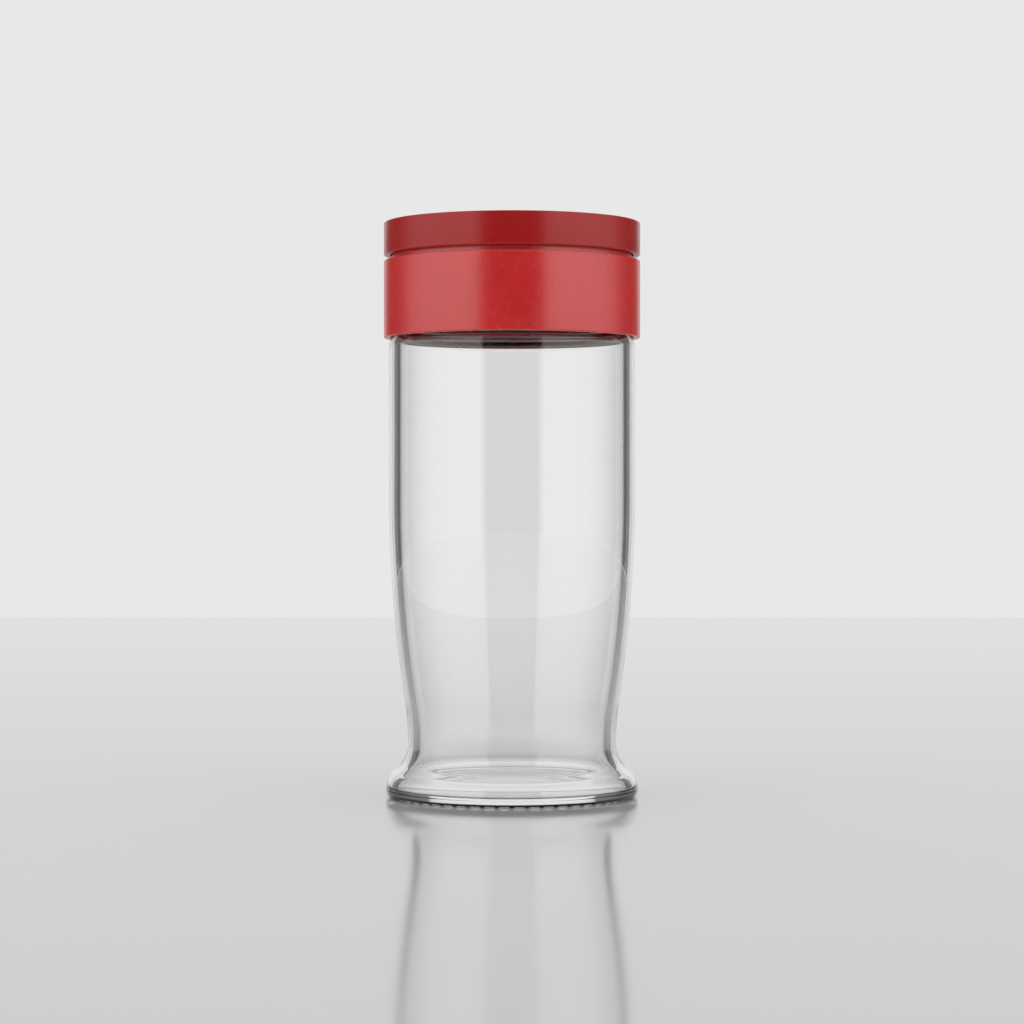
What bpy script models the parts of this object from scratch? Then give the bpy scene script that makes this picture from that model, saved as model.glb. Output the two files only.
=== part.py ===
"""Lidded glass tumbler: a glass vessel with a hollow flared foot and a two-tier screw lid.

Frame: metres, +Z up, origin on the axis at the height the tumbler stands on.
The lid is two mouldings. The collar screws on the glass neck and carries a drinking
spout, and the cap screws on that spout. A gasket seals each of the two joints.
Both threads are right-handed, so a lid part rises when it turns anticlockwise from above.
"""
import bpy
import bmesh
from math import asin, atan, cos, pi, radians, sin, tan, tau
from mathutils import Matrix, Vector

MM = 0.001
GAP = 0.3 * MM                     # clearance between solids that touch when closed

# Turned shapes
SIDES = 48
MERGE = 0.00001
SHARP_ANGLE = radians(35)          # edges that turn more than this stay sharp

# Lid, seen from outside
LID_RADIUS = 35.6 * MM
TOTAL_HEIGHT = 159.2 * MM
CAP_BOTTOM_Z = 150.2 * MM
COLLAR_TOP_Z = 148.7 * MM
COLLAR_BOTTOM_Z = 127.3 * MM
GROOVE_RADIUS = 33.4 * MM
LID_EDGE = 0.35 * MM               # softened edges of the mouldings

# Glass wall
WALL_OUTER = 34.2 * MM
WALL_INNER = 31.2 * MM
WALL_STRAIGHT_LOW_Z = 83.0 * MM    # the wall is straight from here up to the shoulder
WALL_SWEEP = 365.0 * MM            # radius of the long inward sweep below it
WAIST_OUTER = 28.9 * MM
WAIST_WALL = 3.15 * MM             # kept all the way down the flare
WAIST_Z = 14.6 * MM

# Glass shoulder and neck
SHOULDER_Z = 125.0 * MM
SHOULDER_RADIUS = 3.4 * MM
SHOULDER_INNER_RADIUS = 1.5 * MM
NECK_OUTER = 30.0 * MM
NECK_INNER = 27.3 * MM
NECK_INNER_LOW_Z = 131.0 * MM
NECK_FILLET = 0.7 * MM
RIM_Z = 144.6 * MM

# Glass foot: a hollow flare, closed by a thin flat floor
FOOT_OUTER = 35.0 * MM
WAIST_FILLET = 8.2 * MM
FLARE_ANGLE = radians(44)
FOOT_FILLET = 7.35 * MM
HEEL_RADIUS = 2.1 * MM
RING_INNER = 31.4 * MM
RING_Z = 0.5 * MM
UNDERSIDE_RADIUS = 29.6 * MM
UNDERSIDE_Z = 0.8 * MM
FLOOR_Z = 2.3 * MM
FLOOR_FILLET = 0.45 * MM

# Knurls: short radial bars that the glass stands on
KNURL_COUNT = 52
KNURL_WIDTH = 1.3 * MM
KNURL_LENGTH = 1.4 * MM
KNURL_MIDDLE = 33.0 * MM
KNURL_SINK = 0.4 * MM              # how far a knurl reaches up into the ring

# Neck thread: glass bead and collar bead, half a pitch apart
NECK_LEAD = 5.0 * MM
NECK_TURNS = 1.5
NECK_THREAD_Z = 133.4 * MM
NECK_BEAD = 1.6 * MM
NECK_BEAD_CENTRE = 30.3 * MM
COLLAR_BEAD = 1.5 * MM
COLLAR_BEAD_CENTRE = 32.75 * MM

# Collar
SKIRT_INNER = 33.0 * MM
SKIRT_MOUTH = 33.8 * MM            # wider at the bottom, to pass over the glass shoulder
SKIRT_MOUTH_Z = 128.4 * MM
SKIRT_TAPER_Z = 129.6 * MM
DECK_BOTTOM_Z = 146.5 * MM
LIP_OUTER = 26.9 * MM              # plug lip that reaches into the glass mouth
LIP_INNER = 25.2 * MM
LIP_BOTTOM_Z = 142.6 * MM
STEP_INNER = 31.6 * MM             # raised ring, the floor of the groove seen outside
STEP_TOP_Z = 151.6 * MM
SPOUT_OUTER = 21.5 * MM
SPOUT_INNER = 19.0 * MM
SPOUT_TOP_Z = 155.5 * MM
SPOUT_ROUND = 0.9 * MM

# Spout thread: spout bead and cap bead, half a pitch apart
CAP_LEAD = 3.2 * MM
SPOUT_TURNS = 1.0
CAP_TURNS = 0.75
SPOUT_THREAD_Z = 151.0 * MM
SPOUT_BEAD = 1.0 * MM
SPOUT_BEAD_CENTRE = 21.6 * MM
CAP_BEAD = 1.0 * MM
CAP_BEAD_CENTRE = 23.3 * MM

# Cap
CAP_SKIRT_INNER = 33.8 * MM
CAP_PLATE_BOTTOM_Z = 157.2 * MM
CAP_RING_OUTER = 25.6 * MM         # inner ring that carries the cap's thread
CAP_RING_INNER = 23.4 * MM
CAP_RING_BOTTOM_Z = 149.2 * MM

# Gaskets
NECK_GASKET_INNER = 27.2 * MM
NECK_GASKET_OUTER = 31.0 * MM
CAP_GASKET_INNER = 18.7 * MM
CAP_GASKET_OUTER = 22.2 * MM
GASKET_EDGE = 0.2 * MM

# Helical beads
BEAD_STEPS = 40                    # points in one turn
BEAD_TAPER = radians(30)           # length of each end's run-out
BEAD_END = 0.35                    # share of the bead's radius left at its ends

GLASS_COLOUR = (0.93, 0.96, 0.95, 1.0)
COLLAR_COLOUR = (0.50, 0.018, 0.020, 1.0)
CAP_COLOUR = (0.30, 0.010, 0.011, 1.0)
SILICONE_COLOUR = (0.82, 0.82, 0.80, 1.0)


# Scene

def clear_scene():
    for obj in list(bpy.data.objects):
        bpy.data.objects.remove(obj, do_unlink=True)


def new_collection(name):
    collection = bpy.data.collections.new(name)
    bpy.context.scene.collection.children.link(collection)
    return collection


def material(name, colour, roughness, transmission=0.0):
    mat = bpy.data.materials.new(name)
    mat.use_nodes = True
    shader = mat.node_tree.nodes["Principled BSDF"]
    shader.inputs["Base Color"].default_value = colour
    shader.inputs["Roughness"].default_value = roughness
    shader.inputs["Metallic"].default_value = 0.0
    shader.inputs["Transmission Weight"].default_value = transmission
    mat.diffuse_color = colour
    return mat


def add_object(name, data, collection, mat=None):
    obj = bpy.data.objects.new(name, data)
    collection.objects.link(obj)
    if mat:
        data.materials.append(mat)
    return obj


# Profiles: lists of (radius, height)

def arc(centre, radius, start, end, count):
    """Points on an arc from angle start to angle end, both ends included."""
    step = (end - start) / count
    return [(centre[0] + radius * cos(start + i * step),
             centre[1] + radius * sin(start + i * step)) for i in range(count + 1)]


def sweep(top, bottom, top_radius, count):
    """Two tangent arcs from a vertical start at top to a vertical end nearer the axis.

    The upper arc bulges out with top_radius, and the lower one is as large as then fits.
    """
    height = abs(top[1] - bottom[1])
    turn = 2 * atan((top[0] - bottom[0]) / height)
    bottom_radius = height / sin(turn) - top_radius
    down = 1 if top[1] > bottom[1] else -1
    upper = [(top[0] - top_radius * (1 - cos(turn * i / count)),
              top[1] - down * top_radius * sin(turn * i / count)) for i in range(count + 1)]
    lower = [(bottom[0] + bottom_radius * (1 - cos(turn * i / count)),
              bottom[1] + down * bottom_radius * sin(turn * i / count))
             for i in range(count, -1, -1)]
    return upper + lower[1:]


def chamfered_ring(inner, outer, bottom, top, edge):
    """A closed ring section, down its outer side first."""
    return [(inner + edge, top), (outer - edge, top), (outer, top - edge),
            (outer, bottom + edge), (outer - edge, bottom), (inner + edge, bottom),
            (inner, bottom + edge), (inner, top - edge)]


def foot_centre():
    """Centre of the foot's arc, which a straight slope joins to the waist's."""
    across = (FOOT_OUTER - FOOT_FILLET - WAIST_OUTER - WAIST_FILLET
              + (FOOT_FILLET + WAIST_FILLET) * cos(FLARE_ANGLE))
    down = across / tan(FLARE_ANGLE) + (FOOT_FILLET + WAIST_FILLET) * sin(FLARE_ANGLE)
    return FOOT_OUTER - FOOT_FILLET, WAIST_Z - down


def flare(inset, end):
    """From the waist down the flare to angle end of the foot's arc, inset from the outside."""
    waist = (WAIST_OUTER + WAIST_FILLET, WAIST_Z)
    points = arc(waist, WAIST_FILLET + inset, pi, pi + FLARE_ANGLE, 4)
    return points + arc(foot_centre(), FOOT_FILLET - inset, FLARE_ANGLE, end, 4)


def glass_profile():
    """Inside from the floor's centre up to the rim, then down the outside to the base."""
    rim_radius = (NECK_OUTER - NECK_INNER) / 2
    rim_centre = (NECK_INNER + rim_radius, RIM_Z - rim_radius)
    shoulder_centre = (WALL_OUTER - SHOULDER_RADIUS, SHOULDER_Z)
    fillet_centre = (NECK_OUTER + NECK_FILLET, SHOULDER_Z + SHOULDER_RADIUS + NECK_FILLET)

    foot_r, foot_z = foot_centre()
    reach = FOOT_FILLET - WAIST_WALL - FLOOR_FILLET
    floor_angle = asin((FLOOR_Z + FLOOR_FILLET - foot_z) / reach)
    floor_centre = (foot_r + reach * cos(floor_angle), FLOOR_Z + FLOOR_FILLET)
    heel_centre = (FOOT_OUTER - HEEL_RADIUS, foot_z)

    points = [(0.0, FLOOR_Z)]
    points += arc(floor_centre, FLOOR_FILLET, -pi / 2, floor_angle, 3)
    points += flare(WAIST_WALL, floor_angle)[-2::-1]
    inner_wall = sweep((WALL_INNER, WALL_STRAIGHT_LOW_Z), (WAIST_OUTER - WAIST_WALL, WAIST_Z),
                       WALL_SWEEP, 4)
    points += inner_wall[-2::-1]
    points += sweep((WALL_INNER, SHOULDER_Z), (NECK_INNER, NECK_INNER_LOW_Z),
                    SHOULDER_INNER_RADIUS, 3)
    points += arc(rim_centre, rim_radius, pi, 0.0, 6)
    points += arc(fillet_centre, NECK_FILLET, pi, 1.5 * pi, 2)
    points += arc(shoulder_centre, SHOULDER_RADIUS, pi / 2, 0.0, 4)
    points += sweep((WALL_OUTER, WALL_STRAIGHT_LOW_Z), (WAIST_OUTER, WAIST_Z), WALL_SWEEP, 4)
    points += flare(0.0, 0.0)[1:]
    points += arc(heel_centre, HEEL_RADIUS, 0.0, -asin((foot_z - RING_Z) / HEEL_RADIUS), 3)[1:]
    points += [(RING_INNER, RING_Z), (UNDERSIDE_RADIUS, UNDERSIDE_Z), (0.0, UNDERSIDE_Z)]
    return points


def collar_profile():
    """Closed section: spout, groove, skirt, deck and plug lip."""
    return [
        (SPOUT_INNER, SPOUT_TOP_Z - SPOUT_ROUND),
        (SPOUT_INNER + SPOUT_ROUND, SPOUT_TOP_Z),
        (SPOUT_OUTER - SPOUT_ROUND, SPOUT_TOP_Z),
        (SPOUT_OUTER, SPOUT_TOP_Z - SPOUT_ROUND),
        (SPOUT_OUTER, COLLAR_TOP_Z),
        (STEP_INNER, COLLAR_TOP_Z),
        (STEP_INNER, STEP_TOP_Z - LID_EDGE),
        (STEP_INNER + LID_EDGE, STEP_TOP_Z),
        (GROOVE_RADIUS - LID_EDGE, STEP_TOP_Z),
        (GROOVE_RADIUS, STEP_TOP_Z - LID_EDGE),
        (GROOVE_RADIUS, COLLAR_TOP_Z),
        (LID_RADIUS - LID_EDGE, COLLAR_TOP_Z),
        (LID_RADIUS, COLLAR_TOP_Z - LID_EDGE),
        (LID_RADIUS, COLLAR_BOTTOM_Z + LID_EDGE),
        (LID_RADIUS - LID_EDGE, COLLAR_BOTTOM_Z),
        (SKIRT_MOUTH, COLLAR_BOTTOM_Z),
        (SKIRT_MOUTH, SKIRT_MOUTH_Z),
        (SKIRT_INNER, SKIRT_TAPER_Z),
        (SKIRT_INNER, DECK_BOTTOM_Z),
        (LIP_OUTER, DECK_BOTTOM_Z),
        (LIP_OUTER, LIP_BOTTOM_Z + LID_EDGE),
        (LIP_OUTER - LID_EDGE, LIP_BOTTOM_Z),
        (LIP_INNER, LIP_BOTTOM_Z),
        (LIP_INNER, DECK_BOTTOM_Z - LID_EDGE),
        (LIP_INNER - LID_EDGE, DECK_BOTTOM_Z),
        (SPOUT_INNER, DECK_BOTTOM_Z),
    ]


def cap_profile():
    """From the top's centre round the skirt and the threaded ring to the underside's centre."""
    return [
        (0.0, TOTAL_HEIGHT),
        (LID_RADIUS - LID_EDGE, TOTAL_HEIGHT),
        (LID_RADIUS, TOTAL_HEIGHT - LID_EDGE),
        (LID_RADIUS, CAP_BOTTOM_Z + LID_EDGE),
        (LID_RADIUS - LID_EDGE, CAP_BOTTOM_Z),
        (CAP_SKIRT_INNER, CAP_BOTTOM_Z),
        (CAP_SKIRT_INNER, CAP_PLATE_BOTTOM_Z),
        (CAP_RING_OUTER, CAP_PLATE_BOTTOM_Z),
        (CAP_RING_OUTER, CAP_RING_BOTTOM_Z),
        (CAP_RING_INNER, CAP_RING_BOTTOM_Z),
        (CAP_RING_INNER, CAP_PLATE_BOTTOM_Z),
        (0.0, CAP_PLATE_BOTTOM_Z),
    ]


# Solids

def turned(name, profile, closed, collection, mat):
    """Turn a profile about Z with a Screw modifier."""
    count = len(profile)
    edges = [(i, i + 1) for i in range(count - 1)]
    if closed:
        edges.append((count - 1, 0))
    mesh = bpy.data.meshes.new(name)
    mesh.from_pydata([(radius, 0.0, height) for radius, height in profile], edges, [])
    obj = add_object(name, mesh, collection, mat)
    screw = obj.modifiers.new("Turn", "SCREW")
    screw.axis = "Z"
    screw.angle = tau
    screw.steps = SIDES
    screw.render_steps = SIDES
    screw.use_merge_vertices = True
    screw.merge_threshold = MERGE
    return obj


def helix_points(radius, bottom, lead, turns):
    count = round(BEAD_STEPS * turns)
    for i in range(count + 1):
        angle = tau * turns * i / count
        taper = min(angle, tau * turns - angle) / BEAD_TAPER
        share = BEAD_END + (1 - BEAD_END) * min(1.0, taper)
        height = bottom + lead * angle / tau
        yield Vector((radius * cos(angle), radius * sin(angle), height)), share


def thread_bead(name, radius, bead, bottom, lead, turns, start, collection):
    """A rounded helical ridge, made as a curve and turned into a closed mesh."""
    points = list(helix_points(radius, bottom, lead, turns))
    curve = bpy.data.curves.new(name, "CURVE")
    curve.dimensions = "3D"
    curve.bevel_depth = bead
    curve.bevel_resolution = 2
    curve.use_fill_caps = True
    curve.twist_mode = "Z_UP"
    spline = curve.splines.new("POLY")
    spline.points.add(len(points) - 1)
    for point, (position, share) in zip(spline.points, points):
        point.co = (*position, 1.0)
        point.radius = share
    tube = add_object(name + "_curve", curve, collection)
    tube.rotation_euler.z = start
    bpy.context.view_layer.update()
    mesh = bpy.data.meshes.new_from_object(tube.evaluated_get(
        bpy.context.evaluated_depsgraph_get()))
    ridge = add_object(name, mesh, collection)
    ridge.matrix_world = tube.matrix_world.copy()
    bpy.data.objects.remove(tube, do_unlink=True)
    weld(mesh)
    as_cutter(ridge)
    return ridge


def weld(mesh):
    bm = bmesh.new()
    bm.from_mesh(mesh)
    bmesh.ops.remove_doubles(bm, verts=bm.verts, dist=MERGE)
    bmesh.ops.recalc_face_normals(bm, faces=bm.faces)
    bm.to_mesh(mesh)
    bm.free()


def as_cutter(obj):
    obj.hide_render = True
    obj.display_type = "WIRE"


def knurls(collection):
    """All the knurls as one helper: radial bars from the ground up into the bearing ring."""
    height = RING_Z + KNURL_SINK
    bm = bmesh.new()
    for i in range(KNURL_COUNT):
        turn = Matrix.Rotation(tau * i / KNURL_COUNT, 4, "Z")
        place = Matrix.Translation((KNURL_MIDDLE, 0.0, height / 2))
        size = Matrix.Diagonal((KNURL_LENGTH, KNURL_WIDTH, height, 1.0))
        bmesh.ops.create_cube(bm, size=1.0, matrix=turn @ place @ size)
    mesh = bpy.data.meshes.new("knurls")
    bm.to_mesh(mesh)
    bm.free()
    obj = add_object("knurls", mesh, collection)
    as_cutter(obj)
    return obj


def unite(target, helper):
    boolean = target.modifiers.new(helper.name, "BOOLEAN")
    boolean.operation = "UNION"
    boolean.solver = "EXACT"
    boolean.object = helper


def finish(obj):
    """Apply the modifiers, and shade the piece smooth with its real edges left sharp."""
    depsgraph = bpy.context.evaluated_depsgraph_get()
    mesh = bpy.data.meshes.new_from_object(obj.evaluated_get(depsgraph))
    obj.modifiers.clear()
    obj.data = mesh
    mesh.name = obj.name
    mesh.shade_smooth()
    mesh.set_sharp_from_angle(angle=SHARP_ANGLE)


# Pieces

def make_glass(parts, helpers, mat):
    glass = turned("glass_body", glass_profile(), False, parts, mat)
    unite(glass, knurls(helpers))
    unite(glass, thread_bead("neck_thread", NECK_BEAD_CENTRE, NECK_BEAD, NECK_THREAD_Z,
                             NECK_LEAD, NECK_TURNS, 0.0, helpers))


def make_collar(parts, helpers, mat):
    collar = turned("collar", collar_profile(), True, parts, mat)
    unite(collar, thread_bead("collar_thread", COLLAR_BEAD_CENTRE, COLLAR_BEAD,
                              NECK_THREAD_Z - NECK_LEAD / 2, NECK_LEAD, NECK_TURNS, 0.0,
                              helpers))
    unite(collar, thread_bead("spout_thread", SPOUT_BEAD_CENTRE, SPOUT_BEAD, SPOUT_THREAD_Z,
                              CAP_LEAD, SPOUT_TURNS, 0.0, helpers))


def make_cap(parts, helpers, mat):
    cap = turned("cap", cap_profile(), False, parts, mat)
    start_turn = SPOUT_TURNS - CAP_TURNS
    bottom = SPOUT_THREAD_Z + start_turn * CAP_LEAD - CAP_LEAD / 2
    unite(cap, thread_bead("cap_thread", CAP_BEAD_CENTRE, CAP_BEAD, bottom, CAP_LEAD,
                           CAP_TURNS, start_turn * tau, helpers))


def make_gaskets(parts, mat):
    neck = chamfered_ring(NECK_GASKET_INNER, NECK_GASKET_OUTER, RIM_Z + GAP,
                          DECK_BOTTOM_Z - GAP, GASKET_EDGE)
    turned("neck_gasket", neck, True, parts, mat)
    cap = chamfered_ring(CAP_GASKET_INNER, CAP_GASKET_OUTER, SPOUT_TOP_Z + GAP,
                         CAP_PLATE_BOTTOM_Z - GAP, GASKET_EDGE)
    turned("cap_gasket", cap, True, parts, mat)


def main():
    clear_scene()
    parts = new_collection("lidded_glass_tumbler")
    helpers = new_collection("helpers")
    glass = material("clear_glass", GLASS_COLOUR, 0.0, transmission=1.0)
    collar_red = material("collar_red", COLLAR_COLOUR, 0.32)
    cap_red = material("cap_red", CAP_COLOUR, 0.32)
    silicone = material("silicone", SILICONE_COLOUR, 0.6)
    make_glass(parts, helpers, glass)
    make_collar(parts, helpers, collar_red)
    make_cap(parts, helpers, cap_red)
    make_gaskets(parts, silicone)
    for piece in parts.objects:
        finish(piece)


main()
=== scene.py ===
"""Looks of the lidded glass tumbler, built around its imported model."""
from math import asin, atan, cos, pi, radians, sin, tan, tau

import bpy
import numpy as np
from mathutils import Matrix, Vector


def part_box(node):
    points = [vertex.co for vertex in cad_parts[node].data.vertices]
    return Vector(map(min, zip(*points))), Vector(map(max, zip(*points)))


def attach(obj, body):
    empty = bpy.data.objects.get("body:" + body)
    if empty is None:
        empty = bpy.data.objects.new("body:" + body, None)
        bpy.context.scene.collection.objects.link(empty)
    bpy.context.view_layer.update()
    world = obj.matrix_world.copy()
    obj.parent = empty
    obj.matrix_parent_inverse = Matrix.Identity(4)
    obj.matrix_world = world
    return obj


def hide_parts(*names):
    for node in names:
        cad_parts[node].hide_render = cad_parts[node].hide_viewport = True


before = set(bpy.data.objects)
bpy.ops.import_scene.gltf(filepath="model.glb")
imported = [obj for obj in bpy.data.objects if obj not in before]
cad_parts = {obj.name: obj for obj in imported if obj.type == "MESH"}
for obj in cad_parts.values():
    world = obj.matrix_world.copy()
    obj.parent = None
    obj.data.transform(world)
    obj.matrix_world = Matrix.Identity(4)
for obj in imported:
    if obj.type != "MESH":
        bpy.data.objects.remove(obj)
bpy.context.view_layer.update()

MM = 0.001

# What the frame fixes
GLASS_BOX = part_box("glass_body")
COLLAR_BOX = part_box("collar")
CAP_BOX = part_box("cap")
NECK_GASKET_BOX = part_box("neck_gasket")
CAP_GASKET_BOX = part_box("cap_gasket")
FOOT_OUTER = GLASS_BOX[1].x
RIM_Z = GLASS_BOX[1].z
LID_RADIUS = COLLAR_BOX[1].x
COLLAR_BOTTOM_Z = COLLAR_BOX[0].z
SPOUT_TOP_Z = COLLAR_BOX[1].z
CAP_RING_BOTTOM_Z = CAP_BOX[0].z
TOTAL_HEIGHT = CAP_BOX[1].z

# Glass wall, shoulder and neck: the same as the frame's
WALL_OUTER = 34.2 * MM
WALL_INNER = 31.2 * MM
WALL_STRAIGHT_LOW_Z = 83.0 * MM    # the wall is straight from here up to the shoulder
WALL_SWEEP = 365.0 * MM            # radius of the long inward sweep below it
WAIST_OUTER = 28.9 * MM
WAIST_WALL = 3.15 * MM             # kept all the way down the flare
WAIST_Z = 14.6 * MM
SHOULDER_Z = 125.0 * MM
SHOULDER_RADIUS = 3.4 * MM
SHOULDER_INNER_RADIUS = 1.5 * MM
NECK_OUTER = 30.0 * MM
NECK_INNER = 27.3 * MM
NECK_INNER_LOW_Z = 131.0 * MM
NECK_FILLET = 0.7 * MM

# Glass foot: a hollow flare, closed by a thin flat floor
WAIST_FILLET = 8.2 * MM
FLARE_ANGLE = radians(44)
FOOT_FILLET = 7.35 * MM
HEEL_RADIUS = 2.1 * MM
RING_INNER = 31.4 * MM
RING_Z = 0.5 * MM
UNDERSIDE_RADIUS = 29.6 * MM
UNDERSIDE_Z = 0.8 * MM
FLOOR_Z = 2.3 * MM
FLOOR_FILLET = 0.45 * MM

# Knurls: short radial bars under the bearing ring
KNURL_MIDDLE = 33.0 * MM
KNURL_LENGTH = 1.4 * MM
KNURL_COUNT = 52
KNURL_SHARE = 0.36                 # part of the knurls' pitch that a knurl takes

# Lid: the same walls as the frame's
CAP_BOTTOM_Z = 150.2 * MM
COLLAR_TOP_Z = 148.7 * MM
GROOVE_RADIUS = 33.4 * MM
SKIRT_INNER = 33.0 * MM
SKIRT_MOUTH = 33.8 * MM
SKIRT_MOUTH_Z = 128.4 * MM
SKIRT_TAPER_Z = 129.6 * MM
DECK_BOTTOM_Z = 146.5 * MM
LIP_OUTER = 26.9 * MM
LIP_INNER = 25.2 * MM
LIP_BOTTOM_Z = 142.6 * MM
STEP_INNER = 31.6 * MM
STEP_TOP_Z = 151.6 * MM
SPOUT_OUTER = 21.5 * MM
SPOUT_INNER = 19.0 * MM
SPOUT_ROUND = 1.25 * MM
SPOUT_FILLET = 0.4 * MM
CAP_SKIRT_INNER = 33.8 * MM
CAP_PLATE_BOTTOM_Z = 157.2 * MM
CAP_RING_OUTER = 25.6 * MM
CAP_RING_INNER = 23.4 * MM
LID_EDGE = 0.4 * MM                # softened edges of the mouldings
SMALL_EDGE = 0.3 * MM
MOUTH_EDGE = 0.25 * MM
TIGHT_EDGE = 0.2 * MM
CAP_FILLET = 0.6 * MM

# Gaskets
NECK_GASKET_INNER = 27.2 * MM
CAP_GASKET_INNER = 18.7 * MM

# Threads
NECK_LEAD = 5.0 * MM
NECK_TURNS = 1.5
NECK_THREAD_Z = 133.4 * MM
CAP_LEAD = 3.2 * MM
SPOUT_TURNS = 1.0
CAP_TURNS = 0.75
SPOUT_THREAD_Z = 151.0 * MM
THREAD_TAPER = 30 / 360            # part of a turn in which a thread runs out
NECK_HALF_WIDTH = 1.9 * MM
NECK_CREST = 1.9 * MM              # how far the glass thread stands out
COLLAR_CREST = 1.7 * MM
SPOUT_HALF_WIDTH = 1.1 * MM
SPOUT_CREST = 1.1 * MM
ROW_PITCH = 0.25 * MM              # height between rows where a thread stands out
FINE_PITCH = 0.2 * MM
NEAR = 0.01 * MM                   # how near a radius is to count as the same

# Steps round each turned shape
GLASS_STEPS = KNURL_COUNT * 8
LID_STEPS = 256

# Materials: linear colours, and the darkest and lightest of a mottle
GLASS_COLOUR = (0.99, 0.99, 0.99, 1.0)
GLASS_IOR = 1.52
COLLAR_COLOURS = ((0.76, 0.001, 0.002), (0.82, 0.003, 0.004))
COLLAR_ROUGHNESS = 0.26
COLLAR_IOR = 2.05
CAP_COLOURS = ((0.46, 0.003, 0.003), (0.49, 0.004, 0.004))
CAP_ROUGHNESS = 0.25
CAP_IOR = 1.6
ROUGHNESS_SPREAD = 0.03
SILICONE_COLOURS = ((0.72, 0.72, 0.70), (0.80, 0.80, 0.78))
FLOOR_COLOUR = (0.64, 0.64, 0.64, 1.0)
FLOOR_ROUGHNESS = 0.10
FLOOR_IOR = 1.40
NOISE_LOW = 0.3                    # where most of a noise's values lie
NOISE_HIGH = 0.7

# Camera and studio
CAMERA_DISTANCE = 0.784
CAMERA_HEIGHT = 0.079
CAMERA_LENS = 99.1
BACKDROP = 0.807                   # linear grey of the backdrop
FLOOR_BACK_Y = 1.32
FLOOR_FRONT_Y = -3.0
FLOOR_HALF_WIDTH = 3.0
SCREEN_RADIUS = 1.2
SCREEN_HEIGHT = 1.2
# Brightness against azimuth: degrees from the camera's side, and 1 is white
SOFTBOX = ((29, 0.98), (70, 0.98), (90, 0.85), (108, 0.50), (122, 0.20))
FLAG = ((106, 0.12), (135, 0.12), (150, 0.16), (151.5, 0.20))
FRONT = ((-28, 0.0), (28, 0.0))


# Profiles: lists of (radius, height)

def arc(centre, radius, start, end, count):
    """Points on an arc from angle start to angle end, both ends included."""
    step = (end - start) / count
    return [(centre[0] + radius * cos(start + i * step),
             centre[1] + radius * sin(start + i * step)) for i in range(count + 1)]


def line(start, end, count):
    """Points from start up to but without end."""
    return [(start[0] + (end[0] - start[0]) * i / count,
             start[1] + (end[1] - start[1]) * i / count) for i in range(count)]


def sweep(top, bottom, top_radius, count):
    """Two tangent arcs from a vertical start at top to a vertical end nearer the axis."""
    height = abs(top[1] - bottom[1])
    turn = 2 * atan((top[0] - bottom[0]) / height)
    bottom_radius = height / sin(turn) - top_radius
    down = 1 if top[1] > bottom[1] else -1
    upper = [(top[0] - top_radius * (1 - cos(turn * i / count)),
              top[1] - down * top_radius * sin(turn * i / count)) for i in range(count + 1)]
    lower = [(bottom[0] + bottom_radius * (1 - cos(turn * i / count)),
              bottom[1] + down * bottom_radius * sin(turn * i / count))
             for i in range(count, -1, -1)]
    return upper + lower[1:]


def rows_between(radius, start_z, end_z, pitch=ROW_PITCH):
    """A straight stretch cut in rows, without its last point."""
    count = max(1, round(abs(end_z - start_z) / pitch))
    return line((radius, start_z), (radius, end_z), count)


def rounded(corners, radius, count=4):
    """A path through corners, each turned by an arc: corners are (r, z) or (r, z, radius)."""
    points = []
    for i, corner in enumerate(corners):
        before = Vector(corners[i - 1][:2])
        here = Vector(corner[:2])
        after = Vector(corners[(i + 1) % len(corners)][:2])
        size = corner[2] if len(corner) > 2 else radius
        inward = (before - here).normalized()
        onward = (after - here).normalized()
        turn = pi - inward.angle(onward)
        if size == 0:
            points.append(tuple(here))
            continue
        cut = size * tan(turn / 2)
        start = here + inward * cut
        end = here + onward * cut
        for k in range(count + 1):
            t = k / count
            points.append(tuple((1 - t) ** 2 * start + 2 * t * (1 - t) * here + t * t * end))
    return points


def foot_centre():
    """Centre of the foot's arc, which a straight slope joins to the waist's."""
    across = (FOOT_OUTER - FOOT_FILLET - WAIST_OUTER - WAIST_FILLET
              + (FOOT_FILLET + WAIST_FILLET) * cos(FLARE_ANGLE))
    down = across / tan(FLARE_ANGLE) + (FOOT_FILLET + WAIST_FILLET) * sin(FLARE_ANGLE)
    return FOOT_OUTER - FOOT_FILLET, WAIST_Z - down


def flare(inset, end):
    """From the waist down the flare to angle end of the foot's arc, inset from the outside."""
    waist = (WAIST_OUTER + WAIST_FILLET, WAIST_Z)
    points = arc(waist, WAIST_FILLET + inset, pi, pi + FLARE_ANGLE, 14)
    return points + arc(foot_centre(), FOOT_FILLET - inset, FLARE_ANGLE, end, 14)


def ramp(start, end, count):
    """An S-shaped slope, level at both ends, without its first point."""
    return [(start[0] + (end[0] - start[0]) * i / count,
             start[1] + (end[1] - start[1]) * (1 - cos(pi * i / count)) / 2)
            for i in range(1, count + 1)]


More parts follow.
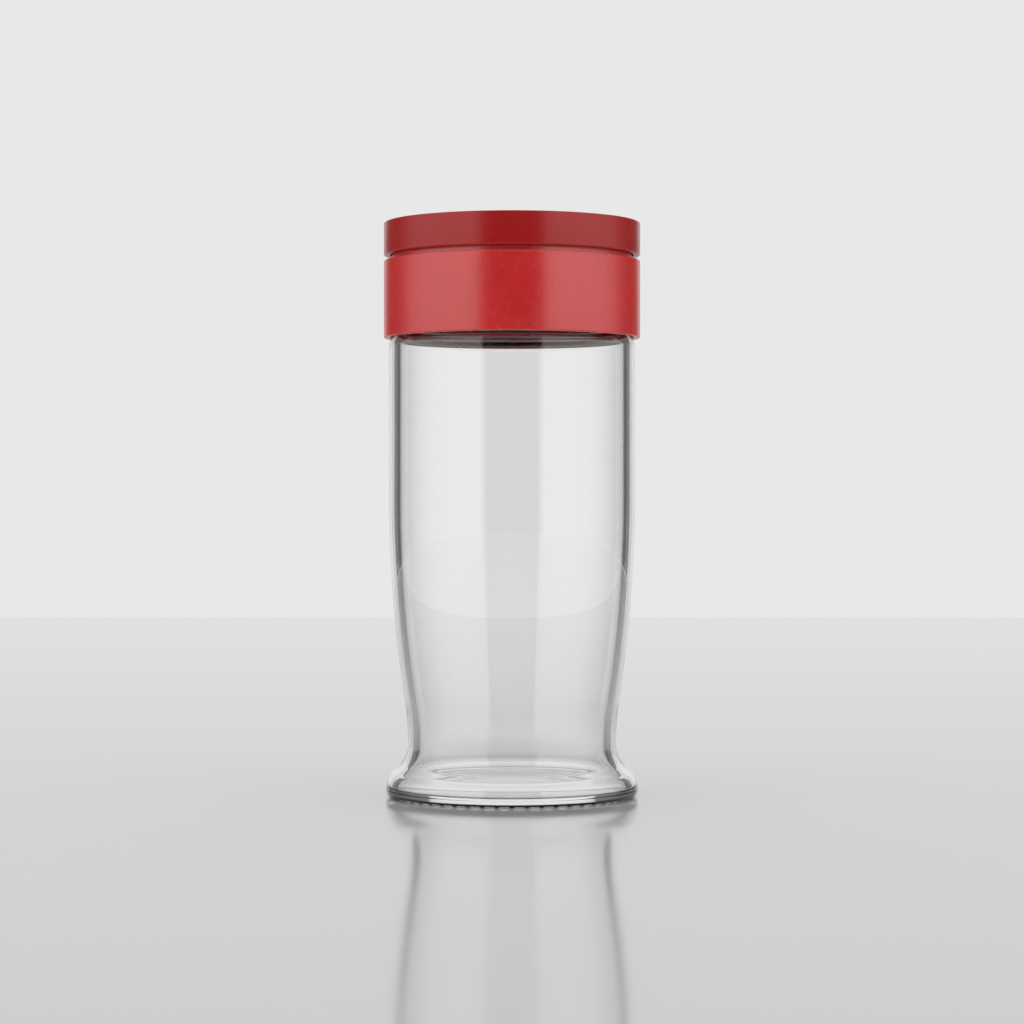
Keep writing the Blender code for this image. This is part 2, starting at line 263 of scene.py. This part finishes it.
def glass_profile():
    rim_radius = (NECK_OUTER - NECK_INNER) / 2
    rim_centre = (NECK_INNER + rim_radius, RIM_Z - rim_radius)
    shoulder_centre = (WALL_OUTER - SHOULDER_RADIUS, SHOULDER_Z)
    fillet_centre = (NECK_OUTER + NECK_FILLET, SHOULDER_Z + SHOULDER_RADIUS + NECK_FILLET)
    foot_r, foot_z = foot_centre()
    reach = FOOT_FILLET - WAIST_WALL - FLOOR_FILLET
    floor_angle = asin((FLOOR_Z + FLOOR_FILLET - foot_z) / reach)
    floor_centre = (foot_r + reach * cos(floor_angle), FLOOR_Z + FLOOR_FILLET)
    heel_end = -asin((foot_z - RING_Z) / HEEL_RADIUS)
    heel = arc((FOOT_OUTER - HEEL_RADIUS, foot_z), HEEL_RADIUS, 0.0, heel_end, 12)

    points = [(0.0, FLOOR_Z)]
    points += line((4 * MM, FLOOR_Z), (floor_centre[0], FLOOR_Z), 6)
    points += arc(floor_centre, FLOOR_FILLET, -pi / 2, floor_angle, 10)
    points += flare(WAIST_WALL, floor_angle)[-2::-1]
    inner_wall = sweep((WALL_INNER, WALL_STRAIGHT_LOW_Z), (WAIST_OUTER - WAIST_WALL, WAIST_Z),
                       WALL_SWEEP, 14)
    points += inner_wall[-2::-1]
    points += sweep((WALL_INNER, SHOULDER_Z), (NECK_INNER, NECK_INNER_LOW_Z),
                    SHOULDER_INNER_RADIUS, 10)
    points += arc(rim_centre, rim_radius, pi, 0.0, 16)
    points += rows_between(NECK_OUTER, rim_centre[1] - ROW_PITCH, fillet_centre[1])
    points += arc(fillet_centre, NECK_FILLET, pi, 1.5 * pi, 4)
    points += arc(shoulder_centre, SHOULDER_RADIUS, pi / 2, 0.0, 14)
    points += sweep((WALL_OUTER, WALL_STRAIGHT_LOW_Z), (WAIST_OUTER, WAIST_Z), WALL_SWEEP, 14)
    points += flare(0.0, 0.0)[1:]
    points += heel[1:-1]
    points += line(heel[-1], (RING_INNER, RING_Z), 16)
    points.append((RING_INNER, RING_Z))
    points += ramp((RING_INNER, RING_Z), (UNDERSIDE_RADIUS, UNDERSIDE_Z), 8)
    points += line((UNDERSIDE_RADIUS * 0.8, UNDERSIDE_Z), (0.0, UNDERSIDE_Z), 4)
    points.append((0.0, UNDERSIDE_Z))
    return points


def collar_profile():
    """Closed section: up over the spout, then down the outside and up the inside."""
    points = arc((SPOUT_INNER + SPOUT_ROUND, SPOUT_TOP_Z - SPOUT_ROUND), SPOUT_ROUND,
                 pi, 0.0, 12)
    points += rows_between(SPOUT_OUTER, SPOUT_TOP_Z - 1.5 * MM, COLLAR_TOP_Z + SPOUT_FILLET,
                           FINE_PITCH)
    points += arc((SPOUT_OUTER + SPOUT_FILLET, COLLAR_TOP_Z + SPOUT_FILLET), SPOUT_FILLET,
                  pi, 1.5 * pi, 3)
    points += rounded([
        (STEP_INNER - 1 * MM, COLLAR_TOP_Z, 0),
        (STEP_INNER, COLLAR_TOP_Z, SMALL_EDGE),
        (STEP_INNER, STEP_TOP_Z),
        (GROOVE_RADIUS, STEP_TOP_Z),
        (GROOVE_RADIUS, COLLAR_TOP_Z, TIGHT_EDGE),
        (LID_RADIUS, COLLAR_TOP_Z),
        (LID_RADIUS, COLLAR_BOTTOM_Z),
        (SKIRT_MOUTH, COLLAR_BOTTOM_Z, MOUTH_EDGE),
        (SKIRT_MOUTH, SKIRT_MOUTH_Z, SMALL_EDGE),
        (SKIRT_INNER, SKIRT_TAPER_Z, 0)], LID_EDGE)
    points += rows_between(SKIRT_INNER, SKIRT_TAPER_Z + ROW_PITCH, DECK_BOTTOM_Z - 0.5 * MM)
    points += rounded([
        (SKIRT_INNER, DECK_BOTTOM_Z - 0.5 * MM, 0),
        (SKIRT_INNER, DECK_BOTTOM_Z, SMALL_EDGE),
        (LIP_OUTER, DECK_BOTTOM_Z, TIGHT_EDGE),
        (LIP_OUTER, LIP_BOTTOM_Z),
        (LIP_INNER, LIP_BOTTOM_Z),
        (LIP_INNER, DECK_BOTTOM_Z, LID_EDGE),
        (SPOUT_INNER, DECK_BOTTOM_Z, 0.5 * MM),
        (SPOUT_INNER, SPOUT_TOP_Z - 2 * MM, 0)], LID_EDGE)
    return points


def cap_profile():
    """From the top's centre round the skirt and the threaded ring to the underside's centre."""
    points = [(0.0, TOTAL_HEIGHT)]
    points += line((4 * MM, TOTAL_HEIGHT), (LID_RADIUS - 2 * MM, TOTAL_HEIGHT), 6)
    points += rounded([
        (LID_RADIUS - 2 * MM, TOTAL_HEIGHT, 0),
        (LID_RADIUS, TOTAL_HEIGHT),
        (LID_RADIUS, CAP_BOTTOM_Z),
        (CAP_SKIRT_INNER, CAP_BOTTOM_Z, MOUTH_EDGE),
        (CAP_SKIRT_INNER, CAP_PLATE_BOTTOM_Z, CAP_FILLET),
        (CAP_RING_OUTER, CAP_PLATE_BOTTOM_Z, CAP_FILLET),
        (CAP_RING_OUTER, CAP_RING_BOTTOM_Z, SMALL_EDGE),
        (CAP_RING_INNER, CAP_RING_BOTTOM_Z, SMALL_EDGE),
        (CAP_RING_INNER, CAP_RING_BOTTOM_Z + 0.5 * MM, 0)], LID_EDGE)
    points += rows_between(CAP_RING_INNER, CAP_RING_BOTTOM_Z + 0.7 * MM,
                           CAP_PLATE_BOTTOM_Z - 0.4 * MM, FINE_PITCH)
    points += rounded([
        (CAP_RING_INNER, CAP_PLATE_BOTTOM_Z - 0.4 * MM, 0),
        (CAP_RING_INNER, CAP_PLATE_BOTTOM_Z, SMALL_EDGE),
        (4 * MM, CAP_PLATE_BOTTOM_Z, 0)], LID_EDGE)
    points.append((0.0, CAP_PLATE_BOTTOM_Z))
    return points


def gasket_profile(box, inner):
    outer = box[1].x
    return rounded([(inner, box[1].z), (outer, box[1].z), (outer, box[0].z),
                    (inner, box[0].z)], SMALL_EDGE)


# Surfaces of revolution, with their threads and knurls

def thread_height(angle, height, bottom, lead, turns, start, crest, half_width):
    """How far a rounded helical thread stands out, at arrays of angle and height."""
    out = np.zeros(np.broadcast(angle, height).shape)
    begin = start / tau
    for turn in range(int(turns + begin) + 2):
        along = (angle % tau) / tau + turn - begin
        offset = height - (bottom + lead * along)
        end = np.clip(np.minimum(along, turns - along) / THREAD_TAPER, 0.0, 1.0)
        near = np.clip(np.abs(offset) / half_width, 0.0, 1.0)
        ridge = crest * (0.5 + 0.5 * np.cos(pi * near)) ** 0.7
        out = np.maximum(out, ridge * end * end * (3 - 2 * end))
    return out


def revolve(name, profile, steps, closed=False, warp=None, sharp=35):
    """A closed surface of revolution. warp(radius, height, angle) returns moved arrays."""
    poles = [i for i, point in enumerate(profile) if point[0] < 1e-9]
    rows = [point for point in profile if point[0] >= 1e-9]
    angle = np.arange(steps) * tau / steps
    radius = np.array([point[0] for point in rows])[:, None] + 0 * angle[None, :]
    height = np.array([point[1] for point in rows])[:, None] + 0 * angle[None, :]
    angle = angle[None, :] + 0 * radius
    if warp:
        radius, height = warp(radius, height, angle)
    verts = np.stack([radius * np.cos(angle), radius * np.sin(angle), height], axis=2)
    verts = verts.reshape(-1, 3).tolist()
    count = len(rows)
    spans = count if closed else count - 1
    faces = []
    for i in range(spans):
        a, b = i * steps, ((i + 1) % count) * steps
        faces += [(a + k, a + (k + 1) % steps, b + (k + 1) % steps, b + k)
                  for k in range(steps)]
    for pole in poles:
        verts.append((0.0, 0.0, profile[pole][1]))
        hub = len(verts) - 1
        ring = 0 if pole == 0 else (count - 1) * steps
        fan = [(hub, ring + (k + 1) % steps, ring + k) for k in range(steps)]
        faces += fan if pole == 0 else [face[::-1] for face in fan]
    faces = [face[::-1] for face in faces]
    mesh = bpy.data.meshes.new(name)
    mesh.from_pydata(verts, [], faces)
    mesh.validate()
    mesh.shade_smooth()
    mesh.set_sharp_from_angle(angle=radians(sharp))
    obj = bpy.data.objects.new(name, mesh)
    bpy.context.scene.collection.objects.link(obj)
    return obj


def warp_glass(radius, height, angle):
    """Raise the neck's thread, and let the knurls down from the bearing ring."""
    on_neck = (np.abs(radius - NECK_OUTER) < NEAR) & (height > SHOULDER_Z)
    thread = thread_height(angle, height, NECK_THREAD_Z, NECK_LEAD, NECK_TURNS, 0.0,
                           NECK_CREST, NECK_HALF_WIDTH)
    radius = radius + np.where(on_neck, thread, 0.0)
    across = np.clip(np.abs(radius - KNURL_MIDDLE) / (KNURL_LENGTH / 2), 0.0, 1.0)
    phase = np.abs((angle * KNURL_COUNT / tau + 0.5) % 1.0 - 0.5) / (KNURL_SHARE / 2)
    along = np.clip(phase, 0.0, 1.0)
    depth = RING_Z * (1 - along ** 4) * (1 - across ** 4) * (along < 1)
    on_ring = (height < RING_Z + 0.001 * MM) & (across < 1)
    return radius, height - np.where(on_ring, depth, 0.0)


def warp_collar(radius, height, angle):
    inside = (np.abs(radius - SKIRT_INNER) < NEAR) & (height < DECK_BOTTOM_Z)
    thread = thread_height(angle, height, NECK_THREAD_Z - NECK_LEAD / 2, NECK_LEAD, NECK_TURNS,
                           0.0, COLLAR_CREST, NECK_HALF_WIDTH)
    radius = radius - np.where(inside, thread, 0.0)
    spout = (np.abs(radius - SPOUT_OUTER) < NEAR) & (height > COLLAR_TOP_Z)
    thread = thread_height(angle, height, SPOUT_THREAD_Z, CAP_LEAD, SPOUT_TURNS, 0.0,
                           SPOUT_CREST, SPOUT_HALF_WIDTH)
    return radius + np.where(spout, thread, 0.0), height


def warp_cap(radius, height, angle):
    start_turn = SPOUT_TURNS - CAP_TURNS
    inside = (np.abs(radius - CAP_RING_INNER) < NEAR) & (height > CAP_RING_BOTTOM_Z)
    thread = thread_height(angle, height, SPOUT_THREAD_Z + (start_turn - 0.5) * CAP_LEAD,
                           CAP_LEAD, CAP_TURNS, start_turn * tau, SPOUT_CREST,
                           SPOUT_HALF_WIDTH)
    return radius - np.where(inside, thread, 0.0), height


# Materials

def new_material(name):
    mat = bpy.data.materials.new(name)
    mat.use_nodes = True
    nodes = mat.node_tree.nodes
    return mat, nodes, mat.node_tree.links, nodes["Principled BSDF"]


def noise(nodes, links, scale, detail=3.0, rough=0.5, stretch=None):
    """Noise in object space, with scale in waves per metre."""
    coords = nodes.new("ShaderNodeTexCoord")
    texture = nodes.new("ShaderNodeTexNoise")
    texture.inputs["Scale"].default_value = scale
    texture.inputs["Detail"].default_value = detail
    texture.inputs["Roughness"].default_value = rough
    source = coords.outputs["Object"]
    if stretch:
        mapping = nodes.new("ShaderNodeMapping")
        mapping.inputs["Scale"].default_value = stretch
        links.new(source, mapping.inputs["Vector"])
        source = mapping.outputs["Vector"]
    links.new(source, texture.inputs["Vector"])
    return texture.outputs["Fac"]


def spread(nodes, links, value, low, high):
    """Map a noise's usual values to low to high."""
    node = nodes.new("ShaderNodeMapRange")
    node.inputs["From Min"].default_value = NOISE_LOW
    node.inputs["From Max"].default_value = NOISE_HIGH
    node.inputs["To Min"].default_value = low
    node.inputs["To Max"].default_value = high
    links.new(value, node.inputs["Value"])
    return node.outputs["Result"]


def bump(nodes, links, value, distance):
    node = nodes.new("ShaderNodeBump")
    node.inputs["Distance"].default_value = distance
    links.new(value, node.inputs["Height"])
    return node.outputs["Normal"]


def mix_colour(nodes, links, value, low, high):
    """Colour a noise's usual values from low to high."""
    ramp = nodes.new("ShaderNodeValToRGB")
    ramp.color_ramp.elements[0].position = NOISE_LOW
    ramp.color_ramp.elements[1].position = NOISE_HIGH
    ramp.color_ramp.elements[0].color = (*low, 1.0)
    ramp.color_ramp.elements[1].color = (*high, 1.0)
    links.new(value, ramp.inputs["Fac"])
    return ramp.outputs["Color"]


def glass_material():
    """Clear glass with a faint smear and a long, shallow ripple."""
    mat, nodes, links, shader = new_material("clear_glass")
    shader.inputs["Base Color"].default_value = GLASS_COLOUR
    shader.inputs["Transmission Weight"].default_value = 1.0
    shader.inputs["IOR"].default_value = GLASS_IOR
    smear = noise(nodes, links, 150.0, 2.0)
    links.new(spread(nodes, links, smear, 0.0, 0.012), shader.inputs["Roughness"])
    ripple = noise(nodes, links, 60.0, 1.0, 0.5, (1.0, 1.0, 0.4))
    links.new(bump(nodes, links, ripple, 0.015 * MM), shader.inputs["Normal"])
    return mat


def plastic_material(name, dark, light, roughness, ior):
    """Satin moulded plastic with mottle, uneven gloss and a fine grain."""
    mat, nodes, links, shader = new_material(name)
    mottle = noise(nodes, links, 120.0, 2.0)
    links.new(mix_colour(nodes, links, mottle, dark, light), shader.inputs["Base Color"])
    wear = noise(nodes, links, 420.0, 4.0, 0.6)
    links.new(spread(nodes, links, wear, roughness - ROUGHNESS_SPREAD,
                     roughness + ROUGHNESS_SPREAD), shader.inputs["Roughness"])
    grain = noise(nodes, links, 5200.0, 2.0)
    links.new(bump(nodes, links, grain, 0.0015 * MM), shader.inputs["Normal"])
    shader.inputs["IOR"].default_value = ior
    return mat


def silicone_material():
    """Clouded matte silicone."""
    mat, nodes, links, shader = new_material("silicone")
    cloud = noise(nodes, links, 300.0, 3.0)
    links.new(mix_colour(nodes, links, cloud, *SILICONE_COLOURS),
              shader.inputs["Base Color"])
    links.new(spread(nodes, links, cloud, 0.5, 0.62), shader.inputs["Roughness"])
    grain = noise(nodes, links, 4000.0, 2.0)
    links.new(bump(nodes, links, grain, 0.006 * MM), shader.inputs["Normal"])
    return mat


def floor_material():
    mat, _, _, shader = new_material("studio_floor")
    shader.inputs["Base Color"].default_value = FLOOR_COLOUR
    shader.inputs["Roughness"].default_value = FLOOR_ROUGHNESS
    shader.inputs["IOR"].default_value = FLOOR_IOR
    return mat


# Studio

def panel(name, corners, mat):
    mesh = bpy.data.meshes.new(name)
    mesh.from_pydata(corners, [], [(0, 1, 2, 3)])
    mesh.materials.append(mat)
    obj = bpy.data.objects.new(name, mesh)
    bpy.context.scene.collection.objects.link(obj)
    return obj


def floor():
    panel("studio_floor", [
        (-FLOOR_HALF_WIDTH, FLOOR_FRONT_Y, 0.0), (FLOOR_HALF_WIDTH, FLOOR_FRONT_Y, 0.0),
        (FLOOR_HALF_WIDTH, FLOOR_BACK_Y, 0.0), (-FLOOR_HALF_WIDTH, FLOOR_BACK_Y, 0.0)],
        floor_material())


def screen_material(name):
    """Glows as brightly as the mesh's light attribute says."""
    mat = bpy.data.materials.new(name)
    mat.use_nodes = True
    nodes, links = mat.node_tree.nodes, mat.node_tree.links
    nodes.remove(nodes["Principled BSDF"])
    glow = nodes.new("ShaderNodeEmission")
    reader = nodes.new("ShaderNodeAttribute")
    reader.attribute_name = "light"
    links.new(reader.outputs["Fac"], glow.inputs["Strength"])
    links.new(glow.outputs["Emission"], nodes["Material Output"].inputs["Surface"])
    return mat


def screen(name, stops, side=1):
    """A screen standing round the object, with its brightness set along it."""
    steps = []
    for (from_angle, from_light), (to_angle, to_light) in zip(stops, stops[1:]):
        count = max(1, round(abs(to_angle - from_angle) / 3))
        steps += [(from_angle + (to_angle - from_angle) * i / count,
                   from_light + (to_light - from_light) * i / count) for i in range(count)]
    steps.append(stops[-1])
    verts = []
    for angle, light in steps:
        x = side * SCREEN_RADIUS * sin(radians(angle))
        y = -SCREEN_RADIUS * cos(radians(angle))
        verts += [(x, y, 0.001), (x, y, SCREEN_HEIGHT)]
    faces = [(2 * i, 2 * i + 2, 2 * i + 3, 2 * i + 1) for i in range(len(steps) - 1)]
    mesh = bpy.data.meshes.new(name)
    mesh.from_pydata(verts, [], faces)
    light_layer = mesh.attributes.new("light", "FLOAT", "POINT")
    light_layer.data.foreach_set("value", [step[1] for step in steps for _ in (0, 1)])
    mesh.materials.append(screen_material(name))
    obj = bpy.data.objects.new(name, mesh)
    bpy.context.scene.collection.objects.link(obj)
    obj.visible_camera = False
    return obj


def screens():
    """Soft light from both sides, a dark front, and dark flags beside the backdrop."""
    for side in (-1, 1):
        screen("softbox", SOFTBOX, side)
        screen("flag", FLAG, side).visible_diffuse = False
    screen("front", FRONT).visible_diffuse = False


def backdrop():
    world = bpy.data.worlds.new("studio")
    world.use_nodes = True
    world.node_tree.nodes["Background"].inputs["Color"].default_value = (
        BACKDROP, BACKDROP, BACKDROP, 1.0)
    bpy.context.scene.world = world
    bpy.context.scene.view_settings.view_transform = "Standard"


def camera():
    data = bpy.data.cameras.new("camera")
    data.lens = CAMERA_LENS
    data.sensor_width = 36.0
    obj = bpy.data.objects.new("camera", data)
    obj.location = (0.0, -CAMERA_DISTANCE, CAMERA_HEIGHT)
    obj.rotation_euler = (pi / 2, 0.0, 0.0)
    bpy.context.scene.collection.objects.link(obj)
    bpy.context.scene.camera = obj


# The tumbler

def place(obj, body, node, mat):
    obj.data.materials.append(mat)
    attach(obj, body)
    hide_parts(node)


def tumbler():
    glass = revolve("glass_vessel", glass_profile(), GLASS_STEPS, warp=warp_glass, sharp=60)
    place(glass, "glass", "glass_body", glass_material())
    collar = revolve("lid_collar", collar_profile(), LID_STEPS, closed=True, warp=warp_collar)
    place(collar, "collar", "collar",
          plastic_material("collar_red", *COLLAR_COLOURS, COLLAR_ROUGHNESS, COLLAR_IOR))
    cap = revolve("lid_cap", cap_profile(), LID_STEPS, warp=warp_cap)
    place(cap, "cap", "cap",
          plastic_material("cap_red", *CAP_COLOURS, CAP_ROUGHNESS, CAP_IOR))
    silicone = silicone_material()
    neck = revolve("neck_seal_ring", gasket_profile(NECK_GASKET_BOX, NECK_GASKET_INNER),
                   LID_STEPS, closed=True)
    place(neck, "neck_seal", "neck_gasket", silicone)
    seal = revolve("cap_seal_ring", gasket_profile(CAP_GASKET_BOX, CAP_GASKET_INNER),
                   LID_STEPS, closed=True)
    place(seal, "cap_seal", "cap_gasket", silicone)


camera()
backdrop()
floor()
screens()
tumbler()
